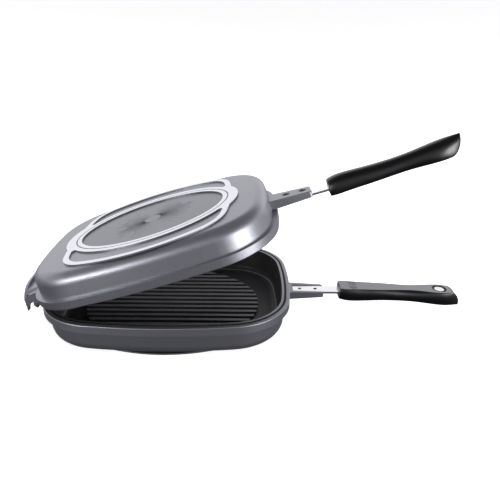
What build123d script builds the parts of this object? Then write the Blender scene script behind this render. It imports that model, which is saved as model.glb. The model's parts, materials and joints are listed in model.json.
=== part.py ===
# Double-sided flip pan, in millimetres, +Z up, +X towards the handles.
# Two cast aluminium pans close mouth to mouth.  The upper one hooks over a loose pin that lies in
# lugs of the lower one, so it swings open and lifts off.  Each pan has a cast arm, a steel strap
# screwed into it and a moulded half handle; magnets keep the two half handles together.
# The origin is the middle of the lower pan's foot, on the surface that the pan stands on.
from build123d import *
from math import cos, radians, sin, tan
import os

# ------------------------------------------------------------------ driving dimensions
# rim, seen from above: a rectangle with bowed sides and large round corners
rim_length = 320.0
rim_width = 256.0
side_bow_radius = 700.0
end_bow_radius = 520.0
corner_radius = 78.0
rim_height = 10.5
rim_edge_round = 1.2

# the flat of the rim, from the outside in: ledge, gasket groove, inner lip
rim_ledge = 4.5
groove_width = 3.0
groove_depth = 2.2
inner_lip = 3.0

# body under the rim
lower_depth = 45.0
upper_depth = 42.5
body_step = 6.0
draft = 5.0
shoulder_radius = 14.0
floor_thickness = 4.0
cavity_corner = 11.0

# machined rings that stand out of each pan's outer face: half lengths and half widths
ring_relief = 2.0
end_lobe = (117.5, 93.0)
side_lobe = (109.0, 115.0)
side_lobe_bows = (400.0, 190.0)
side_lobe_corner = 48.0
lobe_band = 7.5
gap_oval = (111.0, 85.0)
gap_end_round = 3.0
groove_oval = (104.5, 78.0)
groove_line = 1.4
medallion_oval = (97.0, 71.0)
notch_round = 1.5

# grill ribs on the lower pan's floor
rib_count = 17
rib_pitch = 11.6
rib_width = 7.0
rib_height = 3.2
rib_draft = 12.0
rib_top_round = 0.6
rib_oval = (119.0, 103.0)

# gasket cord in the lower pan's groove, and the shallow seat that meets it in the upper pan
gasket_clearance = 0.1
gasket_stand = 0.7
gasket_round = 1.0
closed_gap = 0.4
seat_depth = 0.8
seat_clearance = 0.5

# hinge: pin in lugs of the lower pan, under the hooks and hood of the upper pan
pin_diameter = 5.0
pin_out = 4.5
pin_drop = 8.0
pin_end_stand = 0.5
running_clearance = 0.05
lug_radius = 6.0
lug_width = 10.0
lug_root = (1.0, 17.0)
hook_radius = 6.0
hook_width = 8.0
hook_spacing = 108.0
hook_gap = 1.0
clip_radius = 4.6
clip_thickness = 1.2
clip_gap = 0.3
hood_top = 8.5
hood_thickness = 3.6
hood_reach = 19.0
hood_bow = 5.0
hood_wall = 4.0
hood_corner = (12.0, 5.5)
crest_height = 12.5
crest_shoulder = (34.0, 11.0)
crest_end = 2.0
toe_reach = 21.5
toe_drop = 15.0
toe_notch = (17.0, 8.0)
notch_angle = 40.0

# cast arm, strap and screws; depths are measured from the rim face
arm_length = 48.0
arm_root_width = 31.0
arm_tip_width = 24.5
arm_rib_depths = (11.0, 12.6)
arm_back_depths = (23.0, 20.5)
arm_tip_round = 3.0
arm_edge_round = 1.5
strap_width = 18.0
strap_thickness = 3.0
strap_depth = 13.2
strap_start = 6.0
strap_length = 128.0
strap_end_round = 5.0
strap_side_gap = 0.3
screw_places = (15.7, 37.2)
screw_diameter = 5.0
screw_clearance = 0.1
screw_head_diameter = 9.6
screw_head_angle = 90.0
screw_recess = 0.6
screw_end_gap = 0.8
screw_key = 3.0
screw_key_depth = 1.8

# moulded half handle: distance from the rim's end, half width of the flat mating face,
# half width of the belly and depth of the belly under the rim face
handle_sections = (
    (70.0, 11.6, 13.2, 25.5),
    (80.0, 13.4, 14.6, 28.2),
    (112.0, 11.4, 13.8, 28.6),
    (147.0, 9.2, 12.8, 28.4),
    (180.0, 8.8, 13.0, 30.6),
    (206.0, 13.2, 14.6, 33.8),
    (224.0, 11.6, 12.6, 35.6),
    (240.0, 4.0, 4.4, 36.4),
)
belly_shape = ((1.0, 0.45), (0.68, 0.88))
mating_depth = 6.6
mating_slope = 1.95
handle_edge_round = 1.4
tail_start = 222.0
tail_tip = (239.4, 33.6)
tail_bulge = (235.4, 20.5)
magnet_place = 211.0
magnet_diameter = 13.0
magnet_thickness = 4.0
cup_diameter = 20.0
cup_depth = 5.2
cup_recess = 0.6

# how far the upper pan stands open at rest
open_angle = 17.5

# how far a cutting solid runs past the face it cuts
cut_past = 1.0

# ------------------------------------------------------------------ worked-out places
half_length = rim_length / 2
half_width = rim_width / 2
rim_face_width = rim_ledge + groove_width + inner_lip
wall_middle = half_length - (body_step + rim_face_width) / 2
hook_x = -(half_length + pin_out)
pin_radius = pin_diameter / 2
bore_radius = pin_radius + running_clearance
closed_rise = pin_drop + closed_gap
lug_spacing = hook_spacing - hook_width - 2 * hook_gap - lug_width
pin_length = hook_spacing + hook_width + 2 * pin_end_stand
arm_tip = half_length + arm_length
screw_radius = screw_diameter / 2

# each pan is drawn mouth up, with its rim face on z = 0; these planes put it in place
lower_frame = Plane((0, 0, lower_depth))
tilt = radians(open_angle)
upper_frame = Plane(
    (
        hook_x - hook_x * cos(tilt) - closed_rise * sin(tilt),
        0,
        lower_depth - pin_drop - hook_x * sin(tilt) + closed_rise * cos(tilt),
    ),
    x_dir=(cos(tilt), 0, sin(tilt)),
    z_dir=(sin(tilt), 0, -cos(tilt)),
)


# ------------------------------------------------------------------ outlines
def bowed_outline(half_x, half_y, end_bow, side_bow, corner):
    # four shallow arcs that meet in round corners
    with BuildSketch() as outline:
        with Locations((0, half_y - side_bow)):
            Circle(side_bow)
        with Locations((0, side_bow - half_y)):
            Circle(side_bow, mode=Mode.INTERSECT)
        with Locations(Location((half_x - end_bow, 0, 0), (0, 0, 180))):
            Circle(end_bow, mode=Mode.INTERSECT)
        with Locations((end_bow - half_x, 0)):
            Circle(end_bow, mode=Mode.INTERSECT)
        fillet(outline.vertices(), corner)
    return outline.sketch


def pan_outline(inset):
    # the rim's outline, drawn in by the same distance all round
    return bowed_outline(
        half_length - inset,
        half_width - inset,
        end_bow_radius - inset,
        side_bow_radius - inset,
        corner_radius - inset,
    )


def lobe_outline(inset):
    return bowed_outline(
        side_lobe[0] - inset,
        side_lobe[1] - inset,
        side_lobe_bows[0] - inset,
        side_lobe_bows[1] - inset,
        side_lobe_corner - inset,
    )


def ring_outline():
    # an oval and a squarer oval joined, with two open crescents, a fine groove and a bare middle
    with BuildSketch() as crescents:
        add(lobe_outline(lobe_band))
        Ellipse(*gap_oval, mode=Mode.SUBTRACT)
        fillet(crescents.vertices().sort_by(lambda corner: abs(corner.Y))[:4], gap_end_round)
    with BuildSketch() as groove:
        Ellipse(*groove_oval)
        Ellipse(groove_oval[0] - groove_line, groove_oval[1] - groove_line, mode=Mode.SUBTRACT)
    with BuildSketch() as rings:
        Ellipse(end_lobe[1], end_lobe[0], rotation=90)
        add(lobe_outline(0))
        fillet(rings.vertices().sort_by(lambda corner: abs(corner.Y))[:4], notch_round)
        add(crescents.sketch, mode=Mode.SUBTRACT)
        add(groove.sketch, mode=Mode.SUBTRACT)
        Ellipse(*medallion_oval, mode=Mode.SUBTRACT)
    return rings.sketch


# ------------------------------------------------------------------ cast pans
def cast_half(depth):
    # shell with its rim, machined rings and arm
    base = depth - ring_relief
    cavity_depth = base - floor_thickness
    with BuildPart() as cast:
        with BuildSketch(Plane.XY.offset(-rim_height)):
            add(pan_outline(body_step))
        extrude(amount=-(base - rim_height), taper=draft)
        fillet(cast.edges().group_by(Axis.Z)[0], shoulder_radius)
        with BuildSketch():
            add(pan_outline(0))
        extrude(amount=-rim_height)
        rim_corners = cast.faces().filter_by(Axis.Z).sort_by(Axis.Z)[-1].outer_wire().edges()
        fillet(rim_corners, rim_edge_round)
        with BuildSketch(Plane.XY.offset(-base)):
            add(ring_outline())
        extrude(amount=-ring_relief)
        add(arm())
        with BuildSketch():
            add(pan_outline(rim_face_width))
        extrude(amount=-cavity_depth, taper=draft, mode=Mode.SUBTRACT)
        cavity_floor = cast.edges().filter_by_position(Axis.Z, -cavity_depth - 0.01, -cavity_depth + 0.01)
        fillet(cavity_floor, cavity_corner)
    return cast.part


def back_depth(along):
    # depth of the arm's back at a distance from the rim's end
    share = (along + rim_face_width) / (arm_length + rim_face_width)
    return arm_back_depths[0] + (arm_back_depths[1] - arm_back_depths[0]) * share


def screw(place, clearance):
    # countersunk screw that comes in from the arm's back, or the hole for it
    radius = screw_radius + clearance
    head_radius = screw_head_diameter / 2 + clearance
    head_depth = back_depth(place) - screw_recess
    cone = (head_radius - radius) / tan(radians(screw_head_angle / 2))
    with BuildPart() as fastener:
        with BuildSketch(Plane.XZ):
            with BuildLine():
                Polyline(
                    (0, -head_depth),
                    (head_radius, -head_depth),
                    (radius, -head_depth + cone),
                    (radius, -strap_depth - screw_end_gap),
                    (0, -strap_depth - screw_end_gap),
                    close=True,
                )
            make_face()
        revolve(axis=Axis.Z)
    return fastener.part.moved(Location((half_length + place, 0, 0)))


def arm():
    # tapering arm that grows out of the rim's end, with a channel for the strap
    root_x = half_length - rim_face_width
    channel_start = half_length + strap_start - strap_side_gap
    with BuildPart() as bracket:
        with BuildSketch(Plane.XZ):
            with BuildLine():
                Polyline(
                    (root_x, -arm_rib_depths[0]),
                    (arm_tip, -arm_rib_depths[1]),
                    (arm_tip, -arm_back_depths[1]),
                    (root_x, -arm_back_depths[0]),
                    close=True,
                )
            make_face()
        extrude(amount=arm_root_width, both=True)
        with BuildSketch(Plane.XY.offset(-arm_back_depths[0])):
            with BuildLine():
                Polyline(
                    (root_x, -arm_root_width / 2),
                    (arm_tip, -arm_tip_width / 2),
                    (arm_tip, arm_tip_width / 2),
                    (root_x, arm_root_width / 2),
                    close=True,
                )
            make_face()
        extrude(amount=arm_back_depths[0], mode=Mode.INTERSECT)
        fillet(bracket.edges().filter_by(Axis.Z).group_by(Axis.X)[-1], arm_tip_round)
        back = bracket.faces().sort_by(Axis.Z)[0]
        fillet(back.edges().sort_by(Axis.X)[1:], arm_edge_round)
        with BuildSketch(Plane.XY.offset(-strap_depth - strap_thickness)):
            with Locations((channel_start, 0)):
                Rectangle(
                    strap_length, strap_width + 2 * strap_side_gap, align=(Align.MIN, Align.CENTER)
                )
        extrude(amount=strap_depth, mode=Mode.SUBTRACT)
        for place in screw_places:
            add(screw(place, screw_clearance), mode=Mode.SUBTRACT)
            with BuildSketch(Plane.XY.offset(screw_recess - back_depth(place))):
                with Locations((half_length + place, 0)):
                    Circle(screw_head_diameter / 2 + screw_clearance)
            extrude(amount=-arm_back_depths[0], mode=Mode.SUBTRACT)
    return bracket.part


def strap():
    # flat steel bar, screwed into the arm's channel and moulded into the handle
    with BuildPart() as bar:
        with BuildSketch(Plane.XY.offset(-strap_depth - strap_thickness)):
            with Locations((half_length + strap_start, 0)):
                Rectangle(strap_length, strap_width, align=(Align.MIN, Align.CENTER))
            with Locations(*[(half_length + place, 0) for place in screw_places]):
                Circle(screw_radius, mode=Mode.SUBTRACT)
        extrude(amount=strap_thickness)
        fillet(bar.edges().filter_by(Axis.Z).group_by(Axis.X)[-1], strap_end_round)
    return bar.part


def screws():
    # the two strap screws, with hexagon sockets
    with BuildPart() as pair:
        for place in screw_places:
            add(screw(place, 0))
            with BuildSketch(Plane.XY.offset(screw_recess - back_depth(place))):
                with Locations((half_length + place, 0)):
                    RegularPolygon(screw_key / 2, 6, major_radius=False)
            extrude(amount=screw_key_depth, mode=Mode.SUBTRACT)
    return pair.part


# ------------------------------------------------------------------ handle
def mating_face_depth(along):
    return mating_depth + tan(radians(mating_slope)) * (along - handle_sections[0][0])


def mating_plane(along, sink):
    # plane on the handle's flat face, or sunk under it, looking at the other handle
    slope = radians(mating_slope)
    return Plane(
        (half_length + along, 0, -mating_face_depth(along)),
        x_dir=(cos(slope), 0, -sin(slope)),
        z_dir=(sin(slope), 0, cos(slope)),
    ).offset(-sink)


def handle_section(along, flat, belly, depth):
    # flat on the mating side, rounded on the other
    face = mating_face_depth(along)
    right = [(belly * out, -face - (depth - face) * down) for out, down in belly_shape]
    left = [(-x, y) for x, y in reversed(right)]
    with BuildSketch(Plane.YZ.offset(half_length + along)) as section:
        with BuildLine():
            Line((-flat, -face), (flat, -face))
            Spline((flat, -face), *right, (0, -depth), *left, (-flat, -face))
        make_face()
    return section.sketch


def handle():
    # half handle moulded round the strap, flat towards its twin, with a beaked tail
    with BuildPart() as grip:
        loft([handle_section(*section) for section in handle_sections])
        nose = grip.faces().sort_by(Axis.X)[0].edges()
        sides = grip.edges().sort_by(SortBy.LENGTH)[-2:]
        fillet(nose + sides, handle_edge_round)
        with BuildSketch(Plane.XZ):
            with BuildLine():
                sweep = Spline(
                    (half_length + tail_start, -mating_face_depth(tail_start)),
                    (half_length + tail_bulge[0], -tail_bulge[1]),
                    (half_length + tail_tip[0], -tail_tip[1]),
                    tangents=((1, -tan(radians(mating_slope))), (0, -1)),
                )
                Polyline(
                    sweep @ 1,
                    (half_length + arm_length + tail_start, -tail_tip[1]),
                    (half_length + arm_length + tail_start, 0),
                    (half_length + tail_start, 0),
                    sweep @ 0,
                )
            make_face()
        extrude(amount=arm_root_width, both=True, mode=Mode.SUBTRACT)
        with BuildSketch(mating_plane(magnet_place, cup_recess + cup_depth)):
            Circle(cup_diameter / 2)
        extrude(amount=cup_recess + 2 * cup_depth, mode=Mode.SUBTRACT)
        add(strap(), mode=Mode.SUBTRACT)
    return grip.part


def magnet_cup():
    # steel cup that holds the magnet, let into the mating face
    with BuildPart() as cup:
        with BuildSketch(mating_plane(magnet_place, cup_recess + cup_depth)):
            Circle(cup_diameter / 2)
        extrude(amount=cup_depth)
        with BuildSketch(mating_plane(magnet_place, cup_recess + magnet_thickness)):
            Circle(magnet_diameter / 2)
        extrude(amount=magnet_thickness, mode=Mode.SUBTRACT)
    return cup.part


def magnet():
    with BuildPart() as disc:
        with BuildSketch(mating_plane(magnet_place, cup_recess + magnet_thickness)):
            Circle(magnet_diameter / 2)
        extrude(amount=magnet_thickness)
    return disc.part


# ------------------------------------------------------------------ rim gasket
def groove_ring(depth, rise, outer_gap, inner_gap):
    # ring that follows the gasket groove
    with BuildPart() as ring:
        with BuildSketch(Plane.XY.offset(-depth)):
            add(pan_outline(rim_ledge + outer_gap))
            add(pan_outline(rim_ledge + groove_width - inner_gap), mode=Mode.SUBTRACT)
        extrude(amount=depth + rise)
    return ring.part


def gasket():
    with BuildPart() as cord:
        add(groove_ring(groove_depth, gasket_stand, gasket_clearance, gasket_clearance))
        fillet(cord.edges().group_by(Axis.Z)[-1], gasket_round)
    return cord.part


# ------------------------------------------------------------------ grill ribs
def ribs():
    floor_z = lower_depth - ring_relief - floor_thickness
    with BuildPart() as bars:
        with BuildSketch(Plane.XY.offset(-floor_z)):
            with GridLocations(0, rib_pitch, 1, rib_count):
                Rectangle(2 * rib_oval[0], rib_width)
        extrude(amount=rib_height, taper=rib_draft)
        with BuildSketch(Plane.XY.offset(-floor_z)):
            Ellipse(*rib_oval)
        extrude(amount=rib_height, mode=Mode.INTERSECT)
        fillet(bars.edges().group_by(Axis.Z)[-1], rib_top_round)
    return bars.part


# ------------------------------------------------------------------ hinge
def hinge_bore(radius, drop):
    with BuildPart() as bore:
        with BuildSketch(Plane.XZ):
            with Locations((hook_x, drop)):
                Circle(radius)
        extrude(amount=rim_width / 2, both=True)
    return bore.part


def hinge_lugs():
    # two lugs on the lower pan's end, bored for the pin
    with BuildPart() as lugs:
        for side in (-1, 1):
            with BuildSketch(Plane.XZ.offset(side * lug_spacing / 2)):
                with Locations((hook_x, -pin_drop)):
                    Circle(lug_radius)
                with Locations((-wall_middle, -pin_drop + lug_radius)):
                    Rectangle(*lug_root, align=(Align.CENTER, Align.MAX))
                make_hull()
            extrude(amount=lug_width / 2, both=True)
        add(hinge_bore(bore_radius, -pin_drop), mode=Mode.SUBTRACT)
    return lugs.part


def hook_profile():
    # hook seen from the side: boss round the pin, open slot, notch and toe
    outer_x = -half_length - hood_reach
    toe = (-half_length - toe_reach, toe_drop)
    notch = (-half_length - toe_notch[0], toe_notch[1])
    notch_end = (
        hook_x - hook_radius * cos(radians(notch_angle)),
        closed_rise - hook_radius * sin(radians(notch_angle)),
    )
    with BuildSketch() as profile:
        with BuildLine():
            Polyline(
                (hook_x, closed_rise),
                (hook_x + hook_radius, closed_rise),
                (hook_x + hook_radius, 0),
                (-wall_middle, 0),
                (-wall_middle, -hood_top),
                (-half_length - hood_corner[0], -hood_corner[1]),
                (outer_x, -hood_corner[1] + hood_wall),
                toe,
            )
            ThreePointArc(toe, notch, notch_end)
            Line(notch_end, (hook_x, closed_rise))
        make_face()
        with Locations((hook_x, closed_rise)):
            Circle(hook_radius)
            Circle(bore_radius, mode=Mode.SUBTRACT)
            Rectangle(2 * bore_radius, 2 * toe_drop, align=(Align.CENTER, Align.MIN), mode=Mode.SUBTRACT)
    return profile.sketch


def hood_plan(outer_x, side_y, root_x):
    # bowed outer edge, closed off straight at the wall
    with BuildSketch() as plan:
        with BuildLine():
            bow = ThreePointArc((outer_x, side_y), (outer_x - hood_bow, 0), (outer_x, -side_y))
            Polyline(bow @ 1, (root_x, -side_y), (root_x, side_y), bow @ 0)
        make_face()
    return plan.sketch


def hood():
    # cover that bridges the two hooks, with a crested outer wall
    side_y = (hook_spacing + hook_width) / 2
    outer_x = -half_length - hood_reach
    inside = hood_plan(outer_x + hood_wall, side_y + cut_past, cut_past - wall_middle)
    with BuildPart() as cover:
        with BuildSketch(Plane.XY.offset(-crest_height)):
            add(hood_plan(outer_x, side_y, -wall_middle))
        extrude(amount=crest_height)
        with BuildSketch(Plane.XY.offset(-hood_top)):
            add(inside)
        extrude(amount=-hood_top, mode=Mode.SUBTRACT)
        with BuildSketch(Plane.XY.offset(hood_thickness - hood_top)):
            add(inside)
        extrude(amount=hood_top, mode=Mode.SUBTRACT)
        with BuildSketch(Plane.YZ.offset(outer_x - 2 * hood_bow)):
            with BuildLine():
                crest = Spline(
                    (-side_y, -crest_end),
                    (-crest_shoulder[0], -crest_shoulder[1]),
                    (0, -crest_height),
                    (crest_shoulder[0], -crest_shoulder[1]),
                    (side_y, -crest_end),
                )
                Polyline(crest @ 1, (side_y, cut_past), (-side_y, cut_past), crest @ 0)
            make_face()
        extrude(amount=rim_width / 2, mode=Mode.INTERSECT)
    return cover.part


def hooks():
    with BuildPart() as pair:
        for side in (-1, 1):
            with BuildSketch(Plane.XZ.offset(side * hook_spacing / 2)):
                add(hook_profile())
            extrude(amount=hook_width / 2, both=True)
    return pair.part


# ------------------------------------------------------------------ nodes
with BuildPart() as lower_pan:
    with Locations(lower_frame):
        add(cast_half(lower_depth))
        add(hinge_lugs())
        add(ribs())
        add(groove_ring(groove_depth, rim_height, 0, 0), mode=Mode.SUBTRACT)

with BuildPart() as upper_pan:
    with Locations(upper_frame):
        add(cast_half(upper_depth))
        add(hood())
        add(hooks())
        add(groove_ring(seat_depth, rim_height, -seat_clearance, -seat_clearance), mode=Mode.SUBTRACT)

with BuildPart() as lower_gasket:
    with Locations(lower_frame):
        add(gasket())

pin_line = Plane((hook_x, 0, lower_depth - pin_drop), x_dir=(1, 0, 0), z_dir=(0, -1, 0))
with BuildPart() as hinge_pin:
    with BuildSketch(pin_line):
        Circle(pin_radius)
    extrude(amount=pin_length / 2, both=True)
    chamfer(hinge_pin.edges().filter_by(GeomType.CIRCLE), pin_end_stand)

with BuildPart() as pin_clips:
    for side in (-1, 1):
        with BuildSketch(pin_line.offset(side * (lug_spacing - lug_width - 2 * clip_gap - clip_thickness) / 2)):
            Circle(clip_radius)
            Circle(pin_radius, mode=Mode.SUBTRACT)
        extrude(amount=clip_thickness / 2, both=True)

nodes = {
    "lower_pan": lower_pan.part,
    "upper_pan": upper_pan.part,
    "lower_gasket": lower_gasket.part,
    "hinge_pin": hinge_pin.part,
    "pin_clips": pin_clips.part,
}
for half, frame in (("lower", lower_frame), ("upper", upper_frame)):
    for name, make in (
        ("strap", strap),
        ("strap_screws", screws),
        ("handle", handle),
        ("magnet_cup", magnet_cup),
        ("magnet", magnet),
    ):
        with BuildPart() as piece:
            with Locations(frame):
                add(make())
        nodes[f"{half}_{name}"] = piece.part

os.makedirs("parts", exist_ok=True)
for name, part in nodes.items():
    part.label = name
    export_step(part, f"parts/{name}.step")
    print(name, round(part.volume), len(part.solids()))
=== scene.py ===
# Double-sided flip pan on a pale studio floor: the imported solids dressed, with rays and wavy ridges added.
import json
import math
import random

import bmesh
import bpy
from mathutils import Matrix, Vector


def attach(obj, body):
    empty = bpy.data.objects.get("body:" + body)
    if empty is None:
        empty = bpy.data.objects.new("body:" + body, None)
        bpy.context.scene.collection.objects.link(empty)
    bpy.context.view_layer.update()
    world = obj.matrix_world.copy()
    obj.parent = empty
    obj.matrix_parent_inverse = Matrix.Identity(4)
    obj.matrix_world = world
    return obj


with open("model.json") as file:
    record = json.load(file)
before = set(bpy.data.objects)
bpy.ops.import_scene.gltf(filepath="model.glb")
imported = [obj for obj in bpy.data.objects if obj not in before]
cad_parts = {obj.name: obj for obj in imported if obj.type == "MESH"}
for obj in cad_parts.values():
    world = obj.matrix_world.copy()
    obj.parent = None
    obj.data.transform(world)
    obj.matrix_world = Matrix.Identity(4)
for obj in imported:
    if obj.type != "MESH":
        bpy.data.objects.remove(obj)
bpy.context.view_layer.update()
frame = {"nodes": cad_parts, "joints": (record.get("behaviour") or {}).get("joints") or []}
nodes = frame["nodes"]
print("stage: frame loaded,", len(nodes), "nodes")

mm = 0.001
scene = bpy.context.scene
scene.view_settings.view_transform = "Standard"


def hexColour(text):
    # sRGB hex to the linear values that the shaders use
    parts = [int(text[i:i + 2], 16) / 255 for i in (1, 3, 5)]
    return tuple(c / 12.92 if c <= 0.04045 else ((c + 0.055) / 1.055) ** 2.4 for c in parts) + (1,)


def addNode(tree, kind, settings=None, links=None):
    # one node, with its settings (fields or socket values) and what feeds it: a socket, or a node's first
    node = tree.nodes.new("ShaderNode" + kind)
    for name, value in (settings or {}).items():
        if isinstance(name, str) and hasattr(node, name):
            setattr(node, name, value)
        else:
            node.inputs[name].default_value = value
    for name, source in (links or {}).items():
        if isinstance(source, bpy.types.Node):
            source = source.outputs[0]
        tree.links.new(source, node.inputs[name])
    return node


def newMaterial(name):
    material = bpy.data.materials.new(name)
    material.use_nodes = True
    tree = material.node_tree
    tree.nodes.clear()
    output = addNode(tree, "OutputMaterial")
    return material, tree, output


def dress(thing, material):
    thing.data.materials.clear()
    thing.data.materials.append(material)


def finishMesh(form, name):
    bmesh.ops.recalc_face_normals(form, faces=form.faces)
    mesh = bpy.data.meshes.new(name)
    form.to_mesh(mesh)
    form.free()
    return mesh


def newPiece(name, mesh, material, body):
    piece = bpy.data.objects.new(name, mesh)
    scene.collection.objects.link(piece)
    dress(piece, material)
    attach(piece, body)


# where each pan sits: both are described in an own frame, mouth up, rim face on z = 0, handle towards +x
hinge = next(joint for joint in frame["joints"] if joint["name"] == "hinge_turn")
pan = {
    "lowerDepth": 45 * mm,
    "upperDepth": 42.5 * mm,
    "closedRise": 8.4 * mm,   # pin centre above the upper pan's own rim face
    "ringRelief": 2 * mm,     # the rings stand this far off the field
}
openAngle = math.radians(-hinge["range_deg"][0])
hingePlace = Vector(hinge["pos_m"])
lowerPlace = Matrix.Translation((0, 0, pan["lowerDepth"]))
turnOver = Matrix.Rotation(-openAngle, 4, "Y") @ Matrix.Rotation(math.pi, 4, "X")
upperPlace = (
    Matrix.Translation(hingePlace) @ turnOver
    @ Matrix.Translation((-hingePlace.x, 0, -pan["closedRise"]))
)
places = {"lower": lowerPlace, "upper": upperPlace}
depths = {"lower": pan["lowerDepth"], "upper": pan["upperDepth"]}


def ownPlace(tree, coords, side):
    # where a point lies in the pan's own frame
    place = places[side]
    return addNode(
        tree, "Mapping",
        {"vector_type": "TEXTURE", "Location": place.translation, "Rotation": place.to_euler()},
        {"Vector": coords.outputs["Object"]},
    )


def ownFacing(tree, coords, side):
    # which way it faces there
    facing = addNode(
        tree, "Mapping", {"vector_type": "TEXTURE", "Rotation": places[side].to_euler()},
        {"Vector": coords.outputs["Normal"]},
    )
    return addNode(tree, "SeparateXYZ", links={0: facing})


def maskOf(tree, tests):
    # one where every test holds, zero elsewhere
    mask = None
    for source, operation, limit in tests:
        test = addNode(tree, "Math", {"operation": operation, 1: limit}, {0: source})
        if mask is None:
            mask = test
        else:
            mask = addNode(tree, "Math", {"operation": "MULTIPLY"}, {0: mask, 1: test})
    return mask


# die-cast aluminium: a soft silver sheen where it is sprayed with metallic lacquer, near black and dull
# where the non-stick coating is fired on, bright with tool marks where the rings are turned bare
casting = {
    "rimHalf": (154 * mm, 122 * mm),   # a squared oval along the middle of the rim parts inside from outside
    "rimPower": 4.2,
    "coatStart": 0.7 * mm,             # the coating starts this far below the rim face
    "coatFacing": 0.03,                # and covers what looks up at all
    "bareEnd": 0.3 * mm,               # bare metal ends this far from the outermost face
    "bareFacing": 0.9,
    "paint": "#9b9ca3",
    "paintDark": "#8c8d94",
    "lacquer": {"Metallic": 0.85, "Roughness": 0.42, "Coat Weight": 0.2, "Coat Roughness": 0.2},
    "flakeSize": 0.9 * mm,             # real flake is near 0.05 mm; drawn coarser so that it shows
    "flakeShare": (0.15, 0.85),        # least and most of the lighter paint that a flake takes
    "peelSize": 3.5 * mm,              # orange peel of the sprayed coat
    "peelHeight": 0.05 * mm,
    "fieldPaint": "#78797f",
    "fieldHalf": (97 * mm, 71 * mm),   # the oval field inside the rings
    "fieldEdge": (1.01, 0.99),         # the darker shade starts and is full at these squared shares of it
    "fieldShare": 0.85,
    "coating": "#2d2d2f",
    "coatRough": (0.42, 0.55),
    "speckSize": 1.2 * mm,             # spatter of the fired coat
    "speckHeight": 0.06 * mm,
    # a lighter colour painted on the rib tops as highlight, where they face up
    "ribTopHighlight": "#6f6f73",
    "ribDepth": 35.8 * mm,             # rib tops below the rim face
    "ribHighlightFade": (1.1 * mm, 0.4 * mm),   # the painted highlight starts and is full this far below the tops
    "ribHighlightMargin": 0.3 * mm,             # above the tops nothing gets the painted highlight
    "ribHighlightFacing": 0.6,                  # nor does what faces aside
    "bare": "#e6e7ec",
    "bareRough": 0.34,
    "turnPitch": 5.655 * mm,           # real turning marks are 0.15 mm apart; drawn much coarser to show
    "turnHeight": 0.05 * mm,
}
waveRadians = 20   # the wave node's rings turn through this many radians per unit of scaled distance


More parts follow.
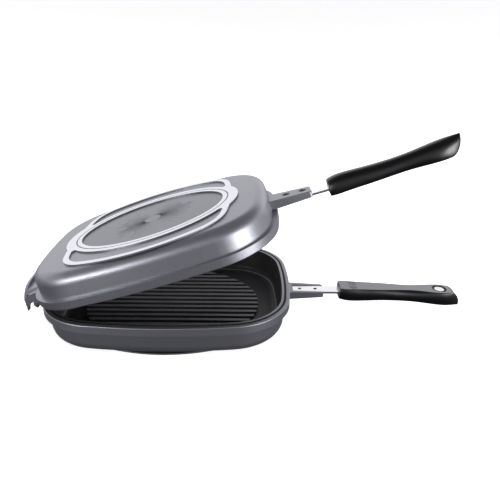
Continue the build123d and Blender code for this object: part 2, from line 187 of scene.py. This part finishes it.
def makeCasting(name, side):
    material, tree, output = newMaterial(name)
    coords = addNode(tree, "TexCoord")
    own = ownPlace(tree, coords, side)
    looksUp = ownFacing(tree, coords, side).outputs["Z"]
    at = addNode(tree, "SeparateXYZ", links={0: own})
    height = at.outputs["Z"]

    # inside the rim, and bare on the outermost faces
    powers = []
    for axis, half in zip("XY", casting["rimHalf"]):
        span = addNode(tree, "Math", {"operation": "ABSOLUTE"}, {0: at.outputs[axis]})
        share = addNode(tree, "Math", {"operation": "DIVIDE", 1: half}, {0: span})
        powers.append(addNode(tree, "Math", {"operation": "POWER", 1: casting["rimPower"]}, {0: share}))
    oval = addNode(tree, "Math", {"operation": "ADD"}, {0: powers[0], 1: powers[1]})
    inside = maskOf(tree, (
        (oval, "LESS_THAN", 1.0),
        (looksUp, "GREATER_THAN", casting["coatFacing"]),
        (height, "LESS_THAN", -casting["coatStart"]),
    ))
    turned = maskOf(tree, (
        (looksUp, "LESS_THAN", -casting["bareFacing"]),
        (height, "LESS_THAN", casting["bareEnd"] - depths[side]),
    ))

    # metallic lacquer: soft sparkle of flake under a clear coat
    flake = addNode(tree, "TexVoronoi", {"Scale": 1 / casting["flakeSize"]}, {"Vector": own})
    flakeLow, flakeHigh = casting["flakeShare"]
    flakeShade = addNode(
        tree, "MapRange", {"To Min": flakeLow, "To Max": flakeHigh}, {"Value": flake.outputs["Color"]}
    )
    paintColour = addNode(
        tree, "Mix",
        {"data_type": "RGBA", 6: hexColour(casting["paintDark"]), 7: hexColour(casting["paint"])},
        {0: flakeShade},
    )
    # the field inside the rings is sprayed thinner and looks darker
    squares = []
    for axis, half in zip("XY", casting["fieldHalf"]):
        share = addNode(tree, "Math", {"operation": "DIVIDE", 1: half}, {0: at.outputs[axis]})
        squares.append(addNode(tree, "Math", {"operation": "MULTIPLY"}, {0: share, 1: share}))
    reach = addNode(tree, "Math", {"operation": "ADD"}, {0: squares[0], 1: squares[1]})
    fieldOut, fieldIn = casting["fieldEdge"]
    fieldShade = addNode(
        tree, "MapRange", {"From Min": fieldOut, "From Max": fieldIn, "To Max": casting["fieldShare"]},
        {"Value": reach},
    )
    shadedPaint = addNode(
        tree, "Mix", {"data_type": "RGBA", 7: hexColour(casting["fieldPaint"])},
        {0: fieldShade, 6: paintColour.outputs[2]},
    )
    peel = addNode(tree, "TexNoise", {"Scale": 1 / casting["peelSize"], "Detail": 2.0}, {"Vector": own})
    peelBump = addNode(
        tree, "Bump", {"Strength": 0.12, "Distance": casting["peelHeight"]}, {"Height": peel.outputs["Fac"]}
    )
    paint = addNode(
        tree, "BsdfPrincipled", casting["lacquer"],
        {"Base Color": shadedPaint.outputs[2], "Normal": peelBump},
    )

    # non-stick coating: near black, dull sheen, faint speckle
    speckle = addNode(tree, "TexNoise", {"Scale": 1 / casting["speckSize"], "Detail": 3.0}, {"Vector": own})
    speckleBump = addNode(
        tree, "Bump", {"Strength": 0.25, "Distance": casting["speckHeight"]},
        {"Height": speckle.outputs["Fac"]},
    )
    smooth, rough = casting["coatRough"]
    speckleRough = addNode(
        tree, "MapRange", {"To Min": smooth, "To Max": rough}, {"Value": speckle.outputs["Fac"]}
    )
    # rib tops get a painted highlight: a lighter colour stands in for the light they catch
    fadeStart, fadeFull = casting["ribHighlightFade"]
    ribHighlightShare = addNode(
        tree, "MapRange",
        {"From Min": -casting["ribDepth"] - fadeStart, "From Max": -casting["ribDepth"] - fadeFull},
        {"Value": height},
    )
    ribHighlightFlat = maskOf(tree, (
        (height, "LESS_THAN", casting["ribHighlightMargin"] - casting["ribDepth"]),
        (looksUp, "GREATER_THAN", casting["ribHighlightFacing"]),
    ))
    paintedRibHighlight = addNode(tree, "Math", {"operation": "MULTIPLY"}, {0: ribHighlightShare, 1: ribHighlightFlat})
    coatAndRibHighlightColour = addNode(
        tree, "Mix",
        {"data_type": "RGBA", 6: hexColour(casting["coating"]), 7: hexColour(casting["ribTopHighlight"])},
        {0: paintedRibHighlight},
    )
    coating = addNode(
        tree, "BsdfPrincipled", {"IOR": 1.45},
        {"Base Color": coatAndRibHighlightColour.outputs[2], "Roughness": speckleRough, "Normal": speckleBump},
    )

    # bare aluminium, faced on a lathe: bright, with circular tool marks
    marks = addNode(
        tree, "TexWave",
        {
            "wave_type": "RINGS", "rings_direction": "Z", "Distortion": 0.4,
            "Scale": 2 * math.pi / waveRadians / casting["turnPitch"],
        },
        {"Vector": own},
    )
    marksBump = addNode(
        tree, "Bump", {"Strength": 0.2, "Distance": casting["turnHeight"]}, {"Height": marks.outputs["Fac"]}
    )
    bare = addNode(
        tree, "BsdfPrincipled",
        {"Base Color": hexColour(casting["bare"]), "Metallic": 1.0, "Roughness": casting["bareRough"]},
        {"Normal": marksBump},
    )
    outside = addNode(tree, "MixShader", links={0: turned, 1: paint, 2: bare})
    whole = addNode(tree, "MixShader", links={0: inside, 1: outside, 2: coating})
    tree.links.new(whole.outputs[0], output.inputs["Surface"])
    return material


# steels of the fittings; real grain is near 0.1 mm across, drawn coarser so that it shows
steels = {
    # rolled strip, brushed along its length: near white, with fine straight grain
    "strap": {
        "name": "brushedStainless", "colour": "#fafafa", "roughness": 0.24,
        "grain": 0.8 * mm, "stretch": (0.05, 1, 1),
    },
    # drawn wire: greyer, with its grain along the pin
    "pin": {
        "name": "drawnStainless", "colour": "#b9babd", "roughness": 0.3,
        "grain": 0.8 * mm, "stretch": (1, 0.05, 1),
    },
    # black oxide on steel: dark and half dull
    "screw": {
        "name": "blackenedSteel", "colour": "#3a3a3d", "roughness": 0.38,
        "grain": 0.5 * mm, "stretch": (1, 1, 1),
    },
    # pressed sheet, dull, painted dark as the shade in the recess round the magnet, so that the bright
    # magnet stands out
    "cup": {
        "name": "pressedSteelPaintedShade", "colour": "#2c2c2e", "roughness": 0.45,
        "grain": 0.5 * mm, "stretch": (1, 1, 1),
    },
    # nickel plated: a bright, slightly warm mirror
    "magnet": {
        "name": "nickelPlate", "colour": "#e4e3e0", "roughness": 0.16,
        "grain": 0.6 * mm, "stretch": (1, 1, 1),
    },
}
grainRelief = 0.02 * mm


def makeSteel(name, colour, roughness, grain, stretch):
    material, tree, output = newMaterial(name)
    coords = addNode(tree, "TexCoord")
    drawn = addNode(tree, "Mapping", {"Scale": stretch}, {"Vector": coords.outputs["Object"]})
    lines = addNode(tree, "TexNoise", {"Scale": 1 / grain, "Detail": 3.0}, {"Vector": drawn}).outputs["Fac"]
    rough = addNode(
        tree, "MapRange", {"To Min": roughness - 0.06, "To Max": roughness + 0.08}, {"Value": lines}
    )
    bump = addNode(tree, "Bump", {"Strength": 0.1, "Distance": grainRelief}, {"Height": lines})
    steel = addNode(
        tree, "BsdfPrincipled", {"Base Color": hexColour(colour), "Metallic": 1.0},
        {"Roughness": rough, "Normal": bump},
    )
    tree.links.new(steel.outputs[0], output.inputs["Surface"])
    return material


# phenolic resin, compression moulded: black and half gloss, duller on the flat mating face, where a paler
# grey is painted sheen
phenolic = {
    "black": "#0a0a0b",
    "paintedSheen": "#76777a",
    "matingFacing": (0.93, 0.99),
    "flowSize": 4 * mm,          # flow marks of the filled resin
    "flowHeight": 0.05 * mm,
    "gloss": (0.26, 0.4),
    "dull": 0.5,
}


def makePhenolic(name, side):
    material, tree, output = newMaterial(name)
    coords = addNode(tree, "TexCoord")
    looksUp = ownFacing(tree, coords, side).outputs["Z"]
    aside, square = phenolic["matingFacing"]
    flatFace = addNode(tree, "MapRange", {"From Min": aside, "From Max": square}, {"Value": looksUp})
    flow = addNode(
        tree, "TexNoise", {"Scale": 1 / phenolic["flowSize"], "Detail": 4.0},
        {"Vector": coords.outputs["Object"]},
    ).outputs["Fac"]
    smooth, rough = phenolic["gloss"]
    gloss = addNode(tree, "MapRange", {"To Min": smooth, "To Max": rough}, {"Value": flow})
    bump = addNode(tree, "Bump", {"Strength": 0.08, "Distance": phenolic["flowHeight"]}, {"Height": flow})
    finish = addNode(tree, "Mix", {"data_type": "FLOAT", 3: phenolic["dull"]}, {0: flatFace, 2: gloss})
    # the paler grey of the flat mating face is a painted sheen on the black resin
    colour = addNode(
        tree, "Mix",
        {"data_type": "RGBA", 6: hexColour(phenolic["black"]), 7: hexColour(phenolic["paintedSheen"])},
        {0: flatFace},
    )
    resin = addNode(
        tree, "BsdfPrincipled", {"IOR": 1.6},
        {"Base Color": colour.outputs[2], "Roughness": finish, "Normal": bump},
    )
    tree.links.new(resin.outputs[0], output.inputs["Surface"])
    return material


# silicone cord, extruded: matte black with a faint dusty bloom
silicone = {"colour": "#0c0c0c", "bloomSize": 2 * mm, "rough": (0.55, 0.75)}


def makeSilicone(name):
    material, tree, output = newMaterial(name)
    coords = addNode(tree, "TexCoord")
    bloom = addNode(
        tree, "TexNoise", {"Scale": 1 / silicone["bloomSize"], "Detail": 3.0},
        {"Vector": coords.outputs["Object"]},
    )
    bare, dusty = silicone["rough"]
    rough = addNode(tree, "MapRange", {"To Min": bare, "To Max": dusty}, {"Value": bloom.outputs["Fac"]})
    rubber = addNode(
        tree, "BsdfPrincipled", {"Base Color": hexColour(silicone["colour"]), "IOR": 1.41},
        {"Roughness": rough},
    )
    tree.links.new(rubber.outputs[0], output.inputs["Surface"])
    return material


materials = {
    "lowerPan": makeCasting("castAluminiumLower", "lower"),
    "upperPan": makeCasting("castAluminiumUpper", "upper"),
    "lowerHandle": makePhenolic("mouldedPhenolicLower", "lower"),
    "upperHandle": makePhenolic("mouldedPhenolicUpper", "upper"),
    "waves": makePhenolic("mouldedPhenolicWaves", "lower"),
    "gasket": makeSilicone("extrudedSilicone"),
}
for piece, steel in steels.items():
    materials[piece] = makeSteel(**steel)
dress(nodes["lower_gasket"], materials["gasket"])
dress(nodes["hinge_pin"], materials["pin"])
dress(nodes["pin_clips"], materials["pin"])
for side in ("lower", "upper"):
    dress(nodes[side + "_pan"], materials[side + "Pan"])
    dress(nodes[side + "_strap"], materials["strap"])
    dress(nodes[side + "_strap_screws"], materials["screw"])
    dress(nodes[side + "_handle"], materials[side + "Handle"])
    dress(nodes[side + "_magnet_cup"], materials["cup"])
    dress(nodes[side + "_magnet"], materials["magnet"])
print("stage: materials")


# raised rays round the middle of the upper pan's field, of uneven length
rays = {
    "count": 72,
    "inner": 11 * mm,
    "outer": (34 * mm, 60 * mm),
    "width": (0.3 * mm, 1.2 * mm),   # at the inner and at the outer end
    "height": 0.17 * mm,
    "sink": 0.1 * mm,
    "seed": 7,
}


def makeRays():
    form = bmesh.new()
    level = pan["ringRelief"] - pan["upperDepth"]
    spread = random.Random(rays["seed"])
    innerWidth, outerWidth = rays["width"]
    for k in range(rays["count"]):
        angle = 2 * math.pi * k / rays["count"]
        along = Vector((math.cos(angle), math.sin(angle), 0))
        aside = Vector((-math.sin(angle), math.cos(angle), 0))
        far = spread.uniform(*rays["outer"])
        corners = []
        for reach, width in ((rays["inner"], innerWidth), (far, outerWidth)):
            # a low ridge: a raised middle between two sunken edges
            half = width / 2
            for offset, rise in ((-half, -rays["sink"]), (0, rays["height"]), (half, -rays["sink"])):
                place = along * reach + aside * offset + Vector((0, 0, level - rise))
                corners.append(form.verts.new(upperPlace @ place))
        a, b, c, d, e, f = corners   # edge, ridge, edge at the inner end, then at the outer end
        for face in ((a, b, e, d), (b, c, f, e), (a, c, b), (d, e, f), (c, a, d, f)):
            form.faces.new(face)
    newPiece("fieldRays", finishMesh(form, "fieldRays"), materials["upperPan"], "upper")


# three wavy ridges across each handle's flat face, near its front end
waves = {
    "places": (86 * mm, 89.4 * mm, 92.8 * mm),   # from the rim's end
    "halfSpan": 10.5 * mm,
    "swing": 1.1 * mm,
    "turns": 1.5,
    "width": 1.3 * mm,
    "endPower": 8,                               # how bluntly a ridge narrows at its ends,
    "endShare": 0.02,                            # and the least square of its narrowing
    "height": 0.6 * mm,
    "sink": 0.25 * mm,
    "steps": 36,
}
# the handles' flat mating face: it starts this far from the rim's end, this deep, and slopes away
mating = {
    "rimEnd": 160 * mm,
    "start": 70 * mm,
    "depth": 6.6 * mm,
    "slope": math.tan(math.radians(1.95)),
}


def makeWaves(side):
    form = bmesh.new()
    for place in waves["places"]:
        rows = []
        for k in range(waves["steps"] + 1):
            share = 2 * k / waves["steps"] - 1
            across = waves["halfSpan"] * share
            along = place + waves["swing"] * math.sin(math.pi * waves["turns"] * share)
            narrowed = max(1 - share ** waves["endPower"], waves["endShare"])
            half = waves["width"] / 2 * math.sqrt(narrowed)
            row = []
            for offset, rise in (
                (-half, -waves["sink"]), (-half / 2, waves["height"]),
                (half / 2, waves["height"]), (half, -waves["sink"]),
            ):
                x = along + offset
                z = rise - mating["depth"] - mating["slope"] * (x - mating["start"])
                row.append(form.verts.new(places[side] @ Vector((mating["rimEnd"] + x, across, z))))
            rows.append(row)
        for low, high in zip(rows, rows[1:]):
            for a in range(4):
                form.faces.new((low[a], low[(a + 1) % 4], high[(a + 1) % 4], high[a]))
        form.faces.new(rows[0])
        form.faces.new(reversed(rows[-1]))
    name = side + "HandleWaves"
    newPiece(name, finishMesh(form, name), materials["waves"], side)


makeRays()
makeWaves("lower")
makeWaves("upper")
print("stage: rays and waves")


# frosted acrylic light table, lit from below: even and pale, with faint shadows
table = {
    "flatRadius": 2.2,
    "riseRadius": 5.0,
    "riseHeight": 3.2,
    "riseSteps": 14,
    "turns": 96,
    "colours": ("#f4f4f5", "#fafafa"),
    "cloudScale": 3.0,
    "glow": "#ffffff",
    "glowStrength": 0.68,
}


def makeFloor():
    # a flat disc that curls up far away on all sides, so that no horizon shows
    form = bmesh.new()
    profile = [(table["flatRadius"], 0.0)]
    for k in range(1, table["riseSteps"] + 1):
        angle = math.pi / 2 * k / table["riseSteps"]
        profile.append((
            table["flatRadius"] + (table["riseRadius"] - table["flatRadius"]) * math.sin(angle),
            table["riseHeight"] * (1 - math.cos(angle)),
        ))
    turns = [2 * math.pi * t / table["turns"] for t in range(table["turns"])]
    rings = []
    for radius, height in profile:
        rings.append([form.verts.new((radius * math.cos(t), radius * math.sin(t), height)) for t in turns])
    form.faces.new(rings[0])
    for low, high in zip(rings, rings[1:]):
        for t in range(table["turns"]):
            beside = (t + 1) % table["turns"]
            form.faces.new((low[t], low[beside], high[beside], high[t]))
    mesh = finishMesh(form, "studioFloor")
    for face in mesh.polygons:
        face.use_smooth = len(face.vertices) == 4
    floor = bpy.data.objects.new("studioFloor", mesh)
    scene.collection.objects.link(floor)

    material, tree, output = newMaterial("frostedAcrylic")
    clouds = addNode(tree, "TexNoise", {"Scale": table["cloudScale"]})
    first, second = table["colours"]
    shade = addNode(
        tree, "Mix", {"data_type": "RGBA", 6: hexColour(first), 7: hexColour(second)},
        {0: clouds.outputs["Fac"]},
    )
    board = addNode(
        tree, "BsdfPrincipled",
        {
            "Roughness": 0.9, "Emission Color": hexColour(table["glow"]),
            "Emission Strength": table["glowStrength"],
        },
        {"Base Color": shade.outputs[2]},
    )
    tree.links.new(board.outputs[0], output.inputs["Surface"])
    dress(floor, material)
    floor.visible_glossy = False
    floor.visible_diffuse = False


# a bright band all round at eye level, dark above and below it, brighter behind the pan than in front
sky = {
    "band": (   # height of each stop as a share of straight up, and its colour
        (-1.0, "#38383c"), (-0.62, "#4c4c54"), (-0.30, "#7c7c86"), (-0.04, "#a4a4ac"), (0.06, "#ffffff"),
        (0.42, "#f4f4f8"), (0.72, "#505058"), (1.0, "#38383e"),
    ),
    "turnover": (-0.5, 0.6),   # from front to back, as a share of straight back
    "strength": (0.38, 1.3),
}


def makeSky():
    world = bpy.data.worlds.new("studioSky")
    scene.world = world
    world.use_nodes = True
    tree = world.node_tree
    tree.nodes.clear()
    coords = addNode(tree, "TexCoord")
    towards = addNode(tree, "SeparateXYZ", links={0: coords.outputs["Generated"]})
    share = addNode(tree, "MapRange", {"From Min": -1.0, "From Max": 1.0}, {"Value": towards.outputs["Z"]})
    band = addNode(tree, "ValToRGB", links={0: share})
    ramp = band.color_ramp
    ramp.interpolation = "EASE"
    while len(ramp.elements) < len(sky["band"]):
        ramp.elements.new(0.5)
    for stop, (up, colour) in zip(ramp.elements, sky["band"]):
        stop.position = (up + 1) / 2
        stop.color = hexColour(colour)
    front, back = sky["turnover"]
    dim, bright = sky["strength"]
    strength = addNode(
        tree, "MapRange", {"From Min": front, "From Max": back, "To Min": dim, "To Max": bright},
        {"Value": towards.outputs["Y"]},
    )
    background = addNode(tree, "Background", links={"Color": band.outputs["Color"], "Strength": strength})
    output = addNode(tree, "OutputWorld")
    tree.links.new(background.outputs[0], output.inputs["Surface"])


# a soft fill overhead, and two softboxes low in front that mirror in the walls and shoulders
lamps = {
    "fillTop": {
        "place": (0.1, 0.3, 1.7), "target": (0.05, 0, 0),
        "size": (3.0, 2.6), "power": 46, "mirrored": False,
    },
    "softboxRight": {
        "place": (1.7, -1.2, 0.32), "target": (0.1, 0, 0.06),
        "size": (1.3, 0.8), "power": 34, "mirrored": True,
    },
    "softboxLeft": {
        "place": (-1.4, -1.6, 0.40), "target": (0, 0, 0.06),
        "size": (1.1, 0.6), "power": 22, "mirrored": True,
    },
}


def makeLamp(name, place, target, size, power, mirrored):
    light = bpy.data.lights.new(name, "AREA")
    light.shape = "RECTANGLE"
    light.size, light.size_y = size
    light.energy = power
    lamp = bpy.data.objects.new(name, light)
    scene.collection.objects.link(lamp)
    lamp.location = place
    lamp.rotation_mode = "QUATERNION"
    lamp.rotation_quaternion = (Vector(target) - Vector(place)).to_track_quat("-Z", "Y")
    lamp.visible_glossy = mirrored


makeFloor()
makeSky()
for name, lamp in lamps.items():
    makeLamp(name, **lamp)


# the photograph's own viewpoint
view = {
    "place": (0.0970, -0.6289, 0.3639),
    "turn": -0.796,
    "lookDown": 23.57,
    "roll": 0.911,
    "lens": 36.68,
    "sensor": 36.0,
    "clip": (0.01, 50),
}
cameraData = bpy.data.cameras.new("photoCamera")
cameraData.lens = view["lens"]
cameraData.sensor_width = view["sensor"]
cameraData.clip_start, cameraData.clip_end = view["clip"]
camera = bpy.data.objects.new("photoCamera", cameraData)
scene.collection.objects.link(camera)
camera.matrix_world = (
    Matrix.Translation(view["place"])
    @ Matrix.Rotation(math.radians(view["turn"]), 4, "Z")
    @ Matrix.Rotation(math.radians(90 - view["lookDown"]), 4, "X")
    @ Matrix.Rotation(math.radians(view["roll"]), 4, "Z")
)
scene.camera = camera
print("stage: studio and camera")
